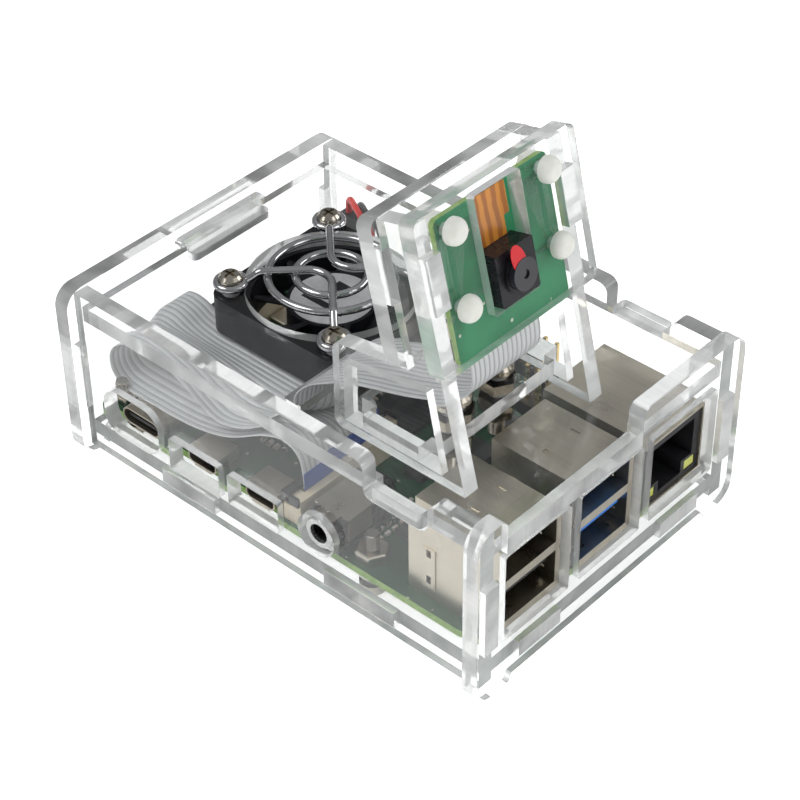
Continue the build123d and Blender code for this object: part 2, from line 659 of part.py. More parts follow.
HEAD_SEAT = EYELET_Z + GUARD_WIRE_R
with BuildPart() as fan_screws:
    for hole in FAN_HOLES:
        threaded(hole, FAN_BOTTOM + 0.6, HEAD_SEAT, 1.3, 0.5)
        turned(
            hole,
            [
                (0, HEAD_SEAT),
                (2.0, HEAD_SEAT),
                (2.0, HEAD_SEAT + 0.5),
                (1.55, HEAD_SEAT + 1.0),
                (0, HEAD_SEAT + 1.2),
            ],
        )
    cross_recess(level(HEAD_SEAT + 1.2), FAN_HOLES, 0.8)
write(fan_screws, "fan_screws")

PLUG_X, PLUG_Y = 8.37, 53.77
with BuildPart() as fan_plug:
    plate((PLUG_X - 1.25, PLUG_X + PIN_PITCH + 1.25), (PLUG_Y - 1.25, PLUG_Y + 1.25), (8.8, 13.6))
    plate((PLUG_X - 1.25, PLUG_X + PIN_PITCH + 1.25), (PLUG_Y - 1.25, PLUG_Y + 1.25), (2.6, 8.8))
    for pin in (PLUG_X, PLUG_X + PIN_PITCH):
        plate((pin - 0.33, pin + 0.33), (PLUG_Y - 0.33, PLUG_Y + 0.33), (2.6, 8.8), mode=Mode.SUBTRACT)
write(fan_plug, "fan_plug")


def fan_lead(offset, name):
    """One wire of the fan: up from the plug, over in an arch and down to the fan's frame."""
    points = [
        at(PLUG_X + offset, PLUG_Y, 13.6),
        at(PLUG_X + offset, PLUG_Y, 16.95),
        at(PLUG_X + offset + 5.5, PLUG_Y - 3.0, 16.95),
        at(PLUG_X + offset + 10.0, PLUG_Y - 5.5, 14.2),
        at(PLUG_X + offset + 10.0, fan_y_range[1], 14.2),
    ]
    with BuildPart() as lead:
        with BuildLine() as route:
            FilletPolyline(*points, radius=[1.8, 1.8, 1.2])
        end = Plane(origin=route.wire() @ 0, z_dir=route.wire() % 0)
        with BuildSketch(end) as section:
            Circle(0.58)
        sweep(section.sketch, path=route.wire())
    write(lead, name)
    print(name, "length", round(route.wire().length, 1), "radii 1.8 1.8 1.2, wire radius 0.58")


fan_lead(0.0, "fan_lead_red")
fan_lead(PIN_PITCH, "fan_lead_black")

# ---------------------------------------------------------------- camera stand

PLATE_SIDES = (2.8, 38.4)
FRONT_S, REAR_S = -1.0, -9.7
TAB_H = (31.5, 40.5)


def leg(near):
    """Side of the stand: a thin frame on the lid, leaning front bar, and a head between the plates."""
    with BuildSketch(upright(near + SHEET)) as outline:
        with BuildLine():
            Polyline(
                (52.0, FOOT_Z),
                (FOOT_X, FOOT_Z),
                lean_point(0, 20.4),
                lean_point(FRONT_S - FIT, 20.4),
                lean_point(FRONT_S - FIT, 45.5),
                lean_point(REAR_S + SHEET + FIT, 45.5),
                lean_point(REAR_S + SHEET + FIT, 20.6),
                (52.0, 37.0),
                close=True,
            )
        make_face()
        fillet(outline.vertices().sort_by(Axis.X)[0:2], 1.5)
        with BuildLine():
            Polyline(
                (54.2, STAND_BASE_Z),
                (FOOT_X - 4.6, STAND_BASE_Z),
                lean_point(-3.6, 17.5),
                (54.2, 34.0),
                close=True,
            )
        make_face(mode=Mode.SUBTRACT)
    extrude(outline.sketch, amount=SHEET)
    prism(leaning(REAR_S), (near, near + SHEET), TAB_H, 11.7)


with BuildPart() as stand_near_leg:
    leg(LEG_NEAR)
write(stand_near_leg, "stand_near_leg")

with BuildPart() as stand_far_leg:
    leg(LEG_FAR)
write(stand_far_leg, "stand_far_leg")

with BuildPart() as stand_base:
    bed = (STAND_BASE_Z, STAND_BASE_Z + SHEET)
    plate((55.0, 71.4), (LEG_NEAR + SHEET + FIT, LEG_FAR - FIT), bed)
    plate((58.0, 69.4), (LEG_NEAR, LEG_FAR + SHEET), bed)
    rod(level(STAND_BASE_Z), STAND_SCREWS, 1.5, SHEET, Mode.SUBTRACT)
write(stand_base, "stand_base")

with BuildPart() as stand_front_plate:
    prism(leaning(FRONT_S), PLATE_SIDES, (21.0, 47.0), SHEET, 1.6)
    prism(leaning(FRONT_S), (15.4, 25.6), (25.5, 45.2), SHEET, 0.5, Mode.SUBTRACT)
    for near in (LEG_NEAR, LEG_FAR):
        slot = (near - FIT, near + SHEET + FIT)
        prism(leaning(FRONT_S), slot, (TAB_H[0] - FIT, TAB_H[1] + FIT), SHEET, mode=Mode.SUBTRACT)
    rod(leaning(FRONT_S), CAMERA_HOLES, 1.1, SHEET, Mode.SUBTRACT)
write(stand_front_plate, "stand_front_plate")

with BuildPart() as stand_rear_plate:
    prism(leaning(REAR_S), PLATE_SIDES, (21.0, 45.5), SHEET, 1.6)
    for near in (LEG_NEAR, LEG_FAR):
        slot = (near - FIT, near + SHEET + FIT)
        prism(leaning(REAR_S), slot, (TAB_H[0] - FIT, TAB_H[1] + FIT), SHEET, mode=Mode.SUBTRACT)
write(stand_rear_plate, "stand_rear_plate")

STAND_HEAD = STAND_BASE_Z + SHEET
with BuildPart() as stand_screws:
    for hole in STAND_SCREWS:
        threaded(hole, 11.5, STAND_HEAD, 1.4, 0.5)
        turned(
            hole,
            [
                (0, STAND_HEAD),
                (2.6, STAND_HEAD),
                (2.6, STAND_HEAD + 0.8),
                (2.0, STAND_HEAD + 1.6),
                (0, STAND_HEAD + 1.9),
            ],
        )
    cross_recess(level(STAND_HEAD + 1.9), STAND_SCREWS, 1.0)
write(stand_screws, "stand_screws")

with BuildPart() as stand_nuts:
    hexagons(level(LID_Z - 2.4), STAND_SCREWS, 5.5, 1.43, 2.4)
    hexagons(level(LID_Z + SHEET), STAND_SCREWS, 5.5, 1.43, STAND_BASE_Z - LID_Z - SHEET)
write(stand_nuts, "stand_nuts")

# ---------------------------------------------------------------- camera

with BuildPart() as camera_board:
    prism(leaning(FRONT_S - 1.0), (CAMERA_Y - 12.5, CAMERA_Y + 12.5), (20.4, 44.4), 1.0, 1.0)
    rod(leaning(FRONT_S - 1.0), CAMERA_HOLES, 1.1, 1.0, Mode.SUBTRACT)
write(camera_board, "camera_board")

with BuildPart() as camera_housing:
    prism(leaning(FRONT_S), (CAMERA_Y - 4.25, CAMERA_Y + 4.25), (LENS_H - 4.25, LENS_H + 4.25), 3.9, 0.4)
    rod(leaning(FRONT_S + 3.9), [(CAMERA_Y, LENS_H)], 3.1, 0.5)
    rod(leaning(FRONT_S + 1.5), [(CAMERA_Y, LENS_H)], 2.65, 4.0, Mode.SUBTRACT)
write(camera_housing, "camera_housing")

with BuildPart() as camera_lens:
    rod(leaning(FRONT_S + 1.6), [(CAMERA_Y, LENS_H)], 2.6, 3.9)
    rod(leaning(FRONT_S + 5.2), [(CAMERA_Y, LENS_H)], 0.75, 1.0, Mode.SUBTRACT)
write(camera_lens, "camera_lens")

with BuildPart() as camera_flex:
    prism(leaning(FRONT_S + 0.05), (CAMERA_Y - 3.4, CAMERA_Y + 4.1), (38.0, 43.3), 0.2, 0.3)
    prism(leaning(FRONT_S + 0.05), (CAMERA_Y - 2.6, CAMERA_Y + 2.9), (LENS_H + 4.3, 38.2), 0.2)
write(camera_flex, "camera_flex")

with BuildPart() as camera_flex_plug:
    prism(leaning(FRONT_S + 0.05), (CAMERA_Y - 4.7, CAMERA_Y - 3.5), (36.0, 40.2), 0.8, 0.2)
write(camera_flex_plug, "camera_flex_plug")

with BuildPart() as camera_screws:
    rod(leaning(FRONT_S + SHEET), CAMERA_HOLES, 2.15, 1.9)
    soft = camera_screws.edges().filter_by(GeomType.CIRCLE)
    fillet(soft.group_by(Axis(leaning(0).origin, leaning(0).z_dir))[-1], 1.4)
    rod(leaning(FRONT_S - 3.4), CAMERA_HOLES, 0.95, 3.4 + SHEET)
write(camera_screws, "camera_screws")

with BuildPart() as camera_nuts:
    hexagons(leaning(FRONT_S - 2.6), CAMERA_HOLES, 4.0, 0.98, 1.6)
write(camera_nuts, "camera_nuts")

BACK_S = FRONT_S - 1.0
with BuildPart() as camera_back_socket:
    prism(leaning(BACK_S - 2.7), (CAMERA_Y - 10.6, CAMERA_Y + 10.6), (21.6, 26.0), 2.7)
    prism(leaning(BACK_S - 1.9), (CAMERA_Y - 8.3, CAMERA_Y + 8.3), (21.0, 25.0), 0.7, mode=Mode.SUBTRACT)
write(camera_back_socket, "camera_back_socket")

with BuildPart() as camera_back_latch:
    prism(leaning(BACK_S - 2.7), (CAMERA_Y - 10.6, CAMERA_Y + 10.6), (20.4, 21.5), 0.7)
    for side in (-1, 1):
        hook = sorted((CAMERA_Y + side * 10.7, CAMERA_Y + side * 11.2))
        prism(leaning(BACK_S - 2.7), hook, (20.4, 23.6), 1.6)
        neck = sorted((CAMERA_Y + side * 10.2, CAMERA_Y + side * 11.2))
        prism(leaning(BACK_S - 2.7), neck, (20.4, 21.5), 1.6)
write(camera_back_latch, "camera_back_latch")

# ---------------------------------------------------------------- ribbon cable

RIBBON_NEAR = 3.5
SLOT_X = 43.4
TURN_X, TURN_Y = 51.6, 7.6
ENTRY_S, ENTRY_H = -3.6, 22.4
entry_x, entry_z = lean_point(ENTRY_S, ENTRY_H)
ENTRY_Y = 12.6

inside_route = [
    (46.5, 3.0),
    (46.5, 10.6),
    (36.0, 9.0),
    (22.0, 7.4),
    (0.75, 7.4),
    (0.75, 13.7),
    (7.7, 13.7),
    (11.2, 10.3),
    (SLOT_X, 10.6),
    (SLOT_X, 22.5),
]
inside_radii = [2.0, 8.0, 8.0, 3.1, 3.1, 2.0, 2.5, 2.0]


def skewed(start, end):
    """Vertical plane through two plan positions; local x runs from the first towards the second."""
    run = (end[0] - start[0], end[1] - start[1], 0)
    return Plane(origin=at(start[0], start[1], 0), x_dir=run, z_dir=(run[1], -run[0], 0))


def distance(start, end):
    """Length of a plan run."""
    return ((end[0] - start[0]) ** 2 + (end[1] - start[1]) ** 2) ** 0.5


def strip(plane, route, radii):
    """Flat cable following a route in a vertical plane, its width lying across the board."""
    with BuildSketch(plane) as section:
        with BuildLine() as path:
            FilletPolyline(*route, radius=radii)
        trace(line_width=RIBBON_THICK)
    extrude(section.sketch, amount=RIBBON_WIDTH, dir=(0, 1, 0))
    print("ribbon run", round(path.wire().length, 1), "bend radii", radii)


first_run = distance((SLOT_X, RIBBON_NEAR), (TURN_X, TURN_Y))
last_run = distance((TURN_X, TURN_Y), (entry_x, ENTRY_Y))
bend_x, bend_z = lean_point(ENTRY_S, 9.6)
bend_run = distance((TURN_X, TURN_Y), (bend_x, ENTRY_Y))

with BuildPart() as ribbon_cable:
    strip(upright(RIBBON_NEAR), inside_route, inside_radii)
    up_and_over = [(0, 20.0), (0, 26.0), (first_run, 27.4)]
    strip(skewed((SLOT_X, RIBBON_NEAR), (TURN_X, TURN_Y)), up_and_over, [2.5])
    to_camera = [(0, 27.4), (bend_run, 29.4), (last_run, entry_z)]
    strip(skewed((TURN_X, TURN_Y), (entry_x, ENTRY_Y)), to_camera, [6.0])
write(ribbon_cable, "ribbon_cable")

with BuildPart() as ribbon_stiffener:
    plate((46.66, 46.86), (RIBBON_NEAR, RIBBON_NEAR + RIBBON_WIDTH), (3.0, 8.5))
write(ribbon_stiffener, "ribbon_stiffener")
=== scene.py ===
import json
import math

import bmesh
import bpy
from mathutils import Matrix, Vector


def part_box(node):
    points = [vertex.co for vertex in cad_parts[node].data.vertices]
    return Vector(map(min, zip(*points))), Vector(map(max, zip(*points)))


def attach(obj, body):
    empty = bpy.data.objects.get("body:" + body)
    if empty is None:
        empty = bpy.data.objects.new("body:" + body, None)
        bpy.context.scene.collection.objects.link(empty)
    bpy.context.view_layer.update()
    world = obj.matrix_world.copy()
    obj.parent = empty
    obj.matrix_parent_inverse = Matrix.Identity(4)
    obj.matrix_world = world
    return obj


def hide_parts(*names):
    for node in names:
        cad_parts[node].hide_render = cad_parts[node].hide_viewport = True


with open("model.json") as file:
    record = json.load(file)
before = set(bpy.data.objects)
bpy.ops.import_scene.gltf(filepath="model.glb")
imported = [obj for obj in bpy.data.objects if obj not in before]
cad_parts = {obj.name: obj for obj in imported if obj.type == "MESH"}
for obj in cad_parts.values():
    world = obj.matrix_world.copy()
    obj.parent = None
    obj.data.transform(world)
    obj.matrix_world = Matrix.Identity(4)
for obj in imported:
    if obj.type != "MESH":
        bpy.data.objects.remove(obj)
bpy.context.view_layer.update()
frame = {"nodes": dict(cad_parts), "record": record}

RECORD = frame["record"]
NODES = frame["nodes"]
MM = 0.001
BOARD = Vector((-43.0, -28.0, 10.0))
ROOT = "board_and_case"


def at(x, y, z):
    """A point given in millimetres from the board's corner, in the model's frame in metres."""
    return (Vector((x, y, z)) + BOARD) * MM


# ---------------------------------------------------------------- materials

CONDUCTORS = 15
RING_DEPTH = 0.7 * MM

SOCKETS = {
    "rough": "Roughness",
    "metal": "Metallic",
    "ior": "IOR",
    "glass": "Transmission Weight",
    "coat": "Coat Weight",
    "coat_rough": "Coat Roughness",
    "soft": "Subsurface Weight",
    "shine": "Specular IOR Level",
}


class Shader:
    """Small builder round one material's node tree."""

    def __init__(self, name):
        self.mat = bpy.data.materials.new(name)
        self.mat.use_nodes = True
        self.tree = self.mat.node_tree
        self.bsdf = self.tree.nodes["Principled BSDF"]
        self.out = self.tree.nodes["Material Output"]
        self.place = self.tree.nodes.new("ShaderNodeTexCoord").outputs["Object"]

    def node(self, kind, **values):
        """A new node of a kind, with its plain properties set."""
        made = self.tree.nodes.new(kind)
        for key, value in values.items():
            setattr(made, key, value)
        return made

    def link(self, source, target):
        self.tree.links.new(source, target)

    def scaled(self, scale):
        """The object's own coordinates, stretched per axis."""
        mapping = self.node("ShaderNodeMapping")
        mapping.inputs["Scale"].default_value = scale
        self.link(self.place, mapping.inputs["Vector"])
        return mapping.outputs["Vector"]

    def noise(self, scale, detail=3.0, stretch=None):
        """Soft noise from 0 to 1; scale is in cycles a metre."""
        made = self.node("ShaderNodeTexNoise")
        made.inputs["Scale"].default_value = scale
        made.inputs["Detail"].default_value = detail
        self.link(self.scaled(stretch) if stretch else self.place, made.inputs["Vector"])
        return made.outputs["Fac"]

    def ramp(self, source, stops):
        """A colour ramp over a factor, with stops of (place, colour)."""
        made = self.node("ShaderNodeValToRGB")
        ramp = made.color_ramp
        while len(ramp.elements) < len(stops):
            ramp.elements.new(0.5)
        for element, (spot, colour) in zip(ramp.elements, stops):
            element.position = spot
            element.color = (*colour, 1.0)
        self.link(source, made.inputs["Fac"])
        return made.outputs["Color"]

    def mix(self, factor, first, second):
        """Blend of two colours, each a tuple or another node's output."""
        made = self.node("ShaderNodeMix", data_type="RGBA")
        if isinstance(factor, float):
            made.inputs[0].default_value = factor
        else:
            self.link(factor, made.inputs[0])
        for spot, value in ((6, first), (7, second)):
            if isinstance(value, tuple):
                made.inputs[spot].default_value = (*value, 1.0)
            else:
                self.link(value, made.inputs[spot])
        return made.outputs[2]

    def math(self, operation, *values):
        """One arithmetic node over numbers or other nodes' outputs."""
        made = self.node("ShaderNodeMath", operation=operation)
        for spot, value in enumerate(values):
            if isinstance(value, (int, float)):
                made.inputs[spot].default_value = value
            else:
                self.link(value, made.inputs[spot])
        return made.outputs[0]

    def span(self, source, low, high, to_low, to_high):
        """A value mapped from one range to another."""
        made = self.node("ShaderNodeMapRange")
        for spot, value in enumerate((low, high, to_low, to_high), start=1):
            made.inputs[spot].default_value = value
        self.link(source, made.inputs[0])
        return made.outputs[0]

    def bump(self, source, strength, distance):
        """Surface relief from a height; distance is in metres."""
        made = self.node("ShaderNodeBump")
        made.inputs["Strength"].default_value = strength
        made.inputs["Distance"].default_value = distance
        self.link(source, made.inputs["Height"])
        self.link(made.outputs["Normal"], self.bsdf.inputs["Normal"])

    def cut_edge(self, thin_axis):
        """1 on a sheet's narrow cut faces and 0 on its two wide ones."""
        dot = self.node("ShaderNodeVectorMath", operation="DOT_PRODUCT")
        dot.inputs[1].default_value = thin_axis
        self.link(self.node("ShaderNodeTexCoord").outputs["Normal"], dot.inputs[0])
        return self.math("LESS_THAN", self.math("ABSOLUTE", dot.outputs["Value"]), 0.5)

    def split(self, source):
        """The X, Y and Z outputs of a vector."""
        made = self.node("ShaderNodeSeparateXYZ")
        self.link(source, made.inputs[0])
        return made.outputs

    def set(self, **values):
        """Plain values on the shader's own sockets, by the short names in SOCKETS."""
        for key, value in values.items():
            self.bsdf.inputs[SOCKETS[key]].default_value = value

    def colour(self, source):
        if isinstance(source, tuple):
            self.bsdf.inputs["Base Color"].default_value = (*source, 1.0)
        else:
            self.link(source, self.bsdf.inputs["Base Color"])


def mottled(name, dark, light, rough=(0.35, 0.5), metal=0.0, grain=900.0, bump=0.1, depth=0.00003,
            coat=0.0, shine=0.4):
    """Moulded, plated or painted surface: slight colour drift, uneven gloss and fine grain."""
    s = Shader(name)
    drift = s.noise(grain * 0.25)
    s.colour(s.ramp(drift, [(0.3, dark), (0.7, light)]))
    s.link(s.span(s.noise(grain), 0.3, 0.7, rough[0], rough[1]), s.bsdf.inputs["Roughness"])
    s.set(metal=metal, coat=coat, shine=shine)
    s.bump(s.noise(grain * 2.0), bump, depth)
    return s.mat


def clear_sheet(name, thin_axis):
    """Clear acrylic: polished faces, and laser-cut edges with fine streaks across the sheet."""
    s = Shader(name)
    s.colour((0.99, 0.995, 0.992))
    s.set(glass=1.0, ior=1.45, shine=0.22)
    edge = s.cut_edge(thin_axis)
    along = tuple(160.0 if abs(part) > 0.5 else 1500.0 for part in thin_axis)
    streaks = s.noise(1.0, 3.0, along)
    s.link(s.math("MULTIPLY_ADD", edge, 0.05, 0.012), s.bsdf.inputs["Roughness"])
    made = s.node("ShaderNodeBump")
    made.inputs["Distance"].default_value = 0.00004
    s.link(s.math("MULTIPLY_ADD", edge, 0.35, 0.0), made.inputs["Strength"])
    s.link(streaks, made.inputs["Height"])
    s.link(made.outputs["Normal"], s.bsdf.inputs["Normal"])
    frost = s.node("ShaderNodeBsdfPrincipled")
    pale = s.ramp(streaks, [(0.3, (0.88, 0.89, 0.88)), (0.7, (0.98, 0.98, 0.975))])
    s.link(pale, frost.inputs["Base Color"])
    frost.inputs["Roughness"].default_value = 0.25
    uneven = s.span(s.noise(140.0, 1.0), 0.35, 0.65, 0.30, 0.52)
    share = s.math("MULTIPLY", edge, uneven)
    body = s.node("ShaderNodeMixShader")
    s.link(share, body.inputs[0])
    s.link(s.bsdf.outputs[0], body.inputs[1])
    s.link(frost.outputs[0], body.inputs[2])
    passing = s.node("ShaderNodeBsdfTransparent")
    passing.inputs["Color"].default_value = (0.90, 0.91, 0.91, 1.0)
    whole = s.node("ShaderNodeMixShader")
    rays = s.node("ShaderNodeLightPath")
    s.link(rays.outputs["Is Shadow Ray"], whole.inputs[0])
    s.link(body.outputs[0], whole.inputs[1])
    s.link(passing.outputs[0], whole.inputs[2])
    s.link(whole.outputs[0], s.out.inputs["Surface"])
    return s.mat


def solder_mask(name, base, track, pads, thin_axis):
    """Board surface: mask over faint tracks, rows of pads and a bare, layered edge."""
    s = Shader(name)
    grid = s.node("ShaderNodeTexBrick")
    grid.inputs["Scale"].default_value = 1.0
    grid.inputs["Mortar Size"].default_value = 0.09
    grid.inputs["Brick Width"].default_value = 3.1
    grid.inputs["Row Height"].default_value = 0.62
    grid.inputs["Color1"].default_value = (0, 0, 0, 1)
    grid.inputs["Color2"].default_value = (0.25, 0.25, 0.25, 1)
    grid.inputs["Mortar"].default_value = (1, 1, 1, 1)
    warp = s.node("ShaderNodeTexNoise")
    warp.inputs["Scale"].default_value = 60.0
    s.link(s.place, warp.inputs["Vector"])
    shift = s.node("ShaderNodeVectorMath", operation="MULTIPLY_ADD")
    shift.inputs[1].default_value = (3.0, 3.0, 0.0)
    s.link(warp.outputs["Color"], shift.inputs[0])
    s.link(s.scaled((1000.0, 1000.0, 1000.0)), shift.inputs[2])
    s.link(shift.outputs[0], grid.inputs["Vector"])
    region = s.span(s.noise(110.0, 1.0), 0.48, 0.55, 0.0, 0.75)
    lines = s.math("MULTIPLY", grid.outputs["Color"], region)
    green = s.mix(lines, base, track)
    dots = s.node("ShaderNodeTexVoronoi", feature="F1")
    dots.inputs["Scale"].default_value = 420.0
    dots.inputs["Randomness"].default_value = 0.75
    s.link(s.place, dots.inputs["Vector"])
    spot = s.math("LESS_THAN", dots.outputs["Distance"], 0.13)
    some = s.math("GREATER_THAN", s.noise(170.0, 2.0), 0.56)
    spotted = s.mix(s.math("MULTIPLY", spot, some), green, pads)
    edge = s.cut_edge(thin_axis)
    laminate = s.ramp(s.noise(900.0), [(0.3, (0.16, 0.30, 0.06)), (0.7, (0.30, 0.46, 0.12))])
    s.colour(s.mix(edge, spotted, laminate))
    s.set(rough=0.38, shine=0.3)
    s.bump(lines, 0.25, 0.00003)
    return s.mat


def brushed(name, dark, light, stretch, rough=(0.26, 0.44)):
    """Tinned sheet metal with a faint rolling grain and dull patches."""
    s = Shader(name)
    grain = s.noise(1.0, 5.0, stretch)
    patches = s.noise(130.0, 4.0)
    stops = [(0.3, dark), (0.7, light)]
    s.colour(s.mix(0.35, s.ramp(patches, stops), s.ramp(grain, stops)))
    s.link(s.span(patches, 0.3, 0.7, rough[0], rough[1]), s.bsdf.inputs["Roughness"])
    s.set(metal=1.0)
    s.bump(grain, 0.12, 0.00002)
    return s.mat


def ribbon_look(name):
    """Flat cable: pale ridged jacket with painted shade darkening the line between its conductors,
    without its printing.
    """
    s = Shader(name)
    uv = s.node("ShaderNodeUVMap", uv_map="strip").outputs["UV"]
    across = s.split(uv)["Y"]
    wave = s.math("SINE", s.math("MULTIPLY", across, 2 * math.pi * CONDUCTORS))
    ridge = s.span(wave, -1.0, 1.0, 0.0, 1.0)
    groove_shade, flank, crest = (0.36, 0.37, 0.38), (0.55, 0.56, 0.57), (0.66, 0.67, 0.68)
    # painted shade: the colour darkens into the grooves between conductors, where shade falls, and the
    # crests keep the jacket's pale grey
    shaded_jacket = s.ramp(ridge, [(0.0, groove_shade), (0.22, flank), (0.5, crest)])
    s.colour(s.mix(s.span(s.noise(140.0), 0.3, 0.7, 0.0, 0.25), shaded_jacket, (0.50, 0.50, 0.50)))
    s.set(rough=0.42, coat=0.25, coat_rough=0.25)
    s.bump(ridge, 0.8, 0.00012)
    return s.mat


def printed_label(name, centre):
    """Silver fan label: pale film with two plain dark bars and no lettering."""
    s = Shader(name)
    shift = s.node("ShaderNodeVectorMath", operation="SUBTRACT")
    shift.inputs[1].default_value = centre
    s.link(s.place, shift.inputs[0])
    place = s.split(shift.outputs[0])
    x, y = place["X"], place["Y"]
    long_bar = s.math(
        "MULTIPLY",
        s.math("COMPARE", y, -0.0022, 0.0007),
        s.math("LESS_THAN", s.math("ABSOLUTE", x), 0.0046),
    )
    short_bar = s.math(
        "MULTIPLY",
        s.math("COMPARE", y, 0.0032, 0.0012),
        s.math("COMPARE", x, -0.0008, 0.0017),
    )
    dark = s.math("MAXIMUM", long_bar, short_bar)
    film = s.ramp(s.noise(500.0), [(0.3, (0.70, 0.70, 0.72)), (0.7, (0.84, 0.84, 0.85))])
    s.colour(s.mix(dark, film, (0.03, 0.03, 0.035)))
    s.set(rough=0.3, metal=0.35)
    return s.mat


def chip_top(name):
    """Matt black moulded chip body with a fine grain and no marking."""
    s = Shader(name)
    s.colour(s.ramp(s.noise(500.0), [(0.3, (0.012, 0.012, 0.014)), (0.7, (0.03, 0.03, 0.033))]))
    s.link(s.span(s.noise(900.0), 0.3, 0.7, 0.38, 0.55), s.bsdf.inputs["Roughness"])
    s.bump(s.noise(3000.0), 0.15, 0.00003)
    return s.mat


def film_circuit(name):
    """Orange film circuit with darker copper runs under the film."""
    s = Shader(name)
    lanes = s.node("ShaderNodeTexWave", wave_type="BANDS", bands_direction="Y")
    lanes.inputs["Scale"].default_value = 160.0
    lanes.inputs["Distortion"].default_value = 1.2
    lanes.inputs["Detail Scale"].default_value = 2.0
    s.link(s.place, lanes.inputs["Vector"])
    s.colour(s.ramp(lanes.outputs["Fac"], [(0.25, (0.42, 0.13, 0.015)), (0.75, (0.70, 0.27, 0.03))]))
    s.set(rough=0.28, coat=0.4, coat_rough=0.15)
    s.bump(lanes.outputs["Fac"], 0.2, 0.00003)
    return s.mat


def small_chip_parts(name):
    """Chip capacitors and resistors: black, tan and grey picked at random by place."""
    s = Shader(name)
    cell = s.node("ShaderNodeTexVoronoi")
    cell.inputs["Scale"].default_value = 620.0
    s.link(s.place, cell.inputs["Vector"])
    tone = s.node("ShaderNodeSeparateColor")
    s.link(cell.outputs["Color"], tone.inputs[0])
    black, tan, grey = (0.05, 0.05, 0.055), (0.34, 0.24, 0.15), (0.62, 0.60, 0.57)
    s.colour(s.ramp(tone.outputs[0], [(0.2, black), (0.45, tan), (0.8, grey)]))
    s.link(s.span(s.noise(1500.0), 0.3, 0.7, 0.3, 0.5), s.bsdf.inputs["Roughness"])
    return s.mat


def jack_barrel(name, front):
    """Black moulded jack with a bright plated ring at the mouth of its barrel."""
    s = Shader(name)
    ring = s.math("LESS_THAN", s.split(s.place)["Y"], front + RING_DEPTH)
    black = s.ramp(s.noise(600.0), [(0.3, (0.010, 0.010, 0.012)), (0.7, (0.022, 0.022, 0.025))])
    plate = s.ramp(s.noise(800.0), [(0.3, (0.66, 0.66, 0.66)), (0.7, (0.86, 0.86, 0.85))])
    s.colour(s.mix(ring, black, plate))
    s.link(s.math("MULTIPLY", ring, 0.9), s.bsdf.inputs["Metallic"])
    s.link(s.span(s.noise(1500.0), 0.3, 0.7, 0.2, 0.34), s.bsdf.inputs["Roughness"])
    return s.mat


def nylon(name):
    """White nylon: slightly translucent, warm and smooth."""
    s = Shader(name)
    s.colour(s.ramp(s.noise(500.0), [(0.3, (0.80, 0.81, 0.74)), (0.7, (0.88, 0.88, 0.82))]))
    s.set(rough=0.35, soft=0.25)
    s.bsdf.inputs["Subsurface Radius"].default_value = (0.002, 0.002, 0.0015)
    s.bump(s.noise(2500.0), 0.1, 0.00003)
    return s.mat


LEAN = 0.24  # radians that the camera's plates lean back from upright
TILTED = (math.cos(LEAN), 0.0, math.sin(LEAN))
label_low, label_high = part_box("fan_label")
LABEL_CENTRE = tuple((a + b) / 2 for a, b in zip(label_low, label_high))
JACK_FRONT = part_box("audio_jack_body")[0].y
METAL_DARK, METAL_LIGHT = (0.46, 0.42, 0.35), (0.62, 0.57, 0.48)
ALONG_Y = (60.0, 1500.0, 60.0)
UP_AND_DOWN = (900.0, 900.0, 90.0)
EVEN = (900.0, 900.0, 900.0)
FLAT = (0.0, 0.0, 1.0)

